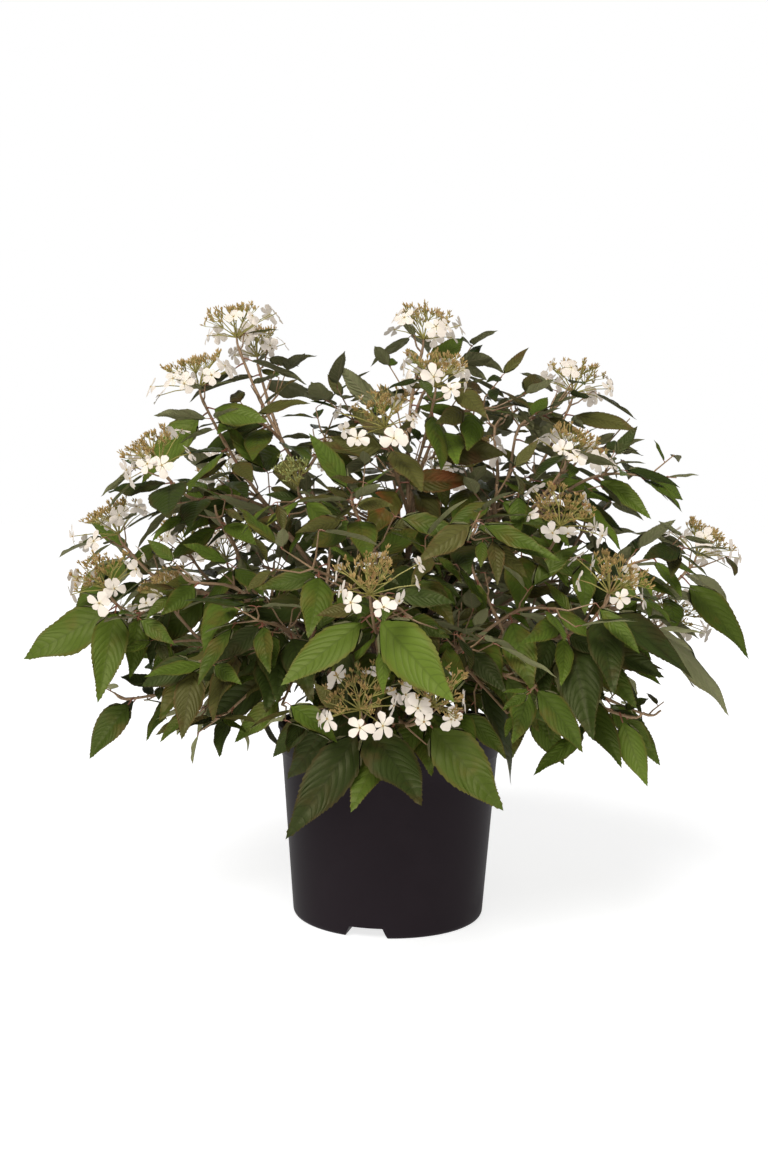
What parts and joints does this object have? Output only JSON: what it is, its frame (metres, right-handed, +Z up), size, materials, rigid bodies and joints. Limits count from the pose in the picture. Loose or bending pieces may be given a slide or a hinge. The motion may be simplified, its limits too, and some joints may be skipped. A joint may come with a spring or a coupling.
{
  "type": "potted viburnum shrub",
  "caption": "Low spreading flowering shrub with opposite pointed leaves and flat flower heads, rooted in a round tapered nursery pot that stands on its flat underside.",
  "frame": {"origin": "centre of the pot's flat underside", "axes": "+Z up along the pot's axis, -Y towards the side of the crown that is seen first, +X to that view's right"},
  "size_m": [0.6588, 0.6139, 0.5746],
  "materials": {
    "pot": "smooth satin black nursery plastic",
    "soil": "coarse potting compost",
    "bark": "fine rough bark",
    "leaf": "matt green leaves"
  },
  "bodies": {
    "root": {"bough_back": "bark", "bough_back_left": "bark", "bough_back_low": "bark", "bough_back_mid_left": "bark", "bough_back_right": "bark", "bough_back_top": "bark", "bough_far_right": "bark", "bough_front": "bark", "bough_front_left": "bark", "bough_front_low": "bark", "bough_front_right": "bark", "bough_left": "bark", "bough_low_left": "bark", "bough_low_right": "bark", "bough_right": "bark", "bough_right_front": "bark", "bough_top_left": "bark", "bough_top_middle": "bark", "bough_upper_left": "bark", "bough_upper_right": "bark", "foliage_back": "leaf", "foliage_back_left": "leaf", "foliage_back_low": "leaf", "foliage_back_mid_left": "leaf", "foliage_back_right": "leaf", "foliage_back_top": "leaf", "foliage_far_right": "leaf", "foliage_front": "leaf", "foliage_front_left": "leaf", "foliage_front_low": "leaf", "foliage_front_right": "leaf", "foliage_left": "leaf", "foliage_low_left": "leaf", "foliage_low_right": "leaf", "foliage_right": "leaf", "foliage_right_front": "leaf", "foliage_top_left": "leaf", "foliage_top_middle": "leaf", "foliage_upper_left": "leaf", "foliage_upper_right": "leaf", "pot": "pot", "soil": "soil", "stem": "bark"}
  },
  "joints": []
}
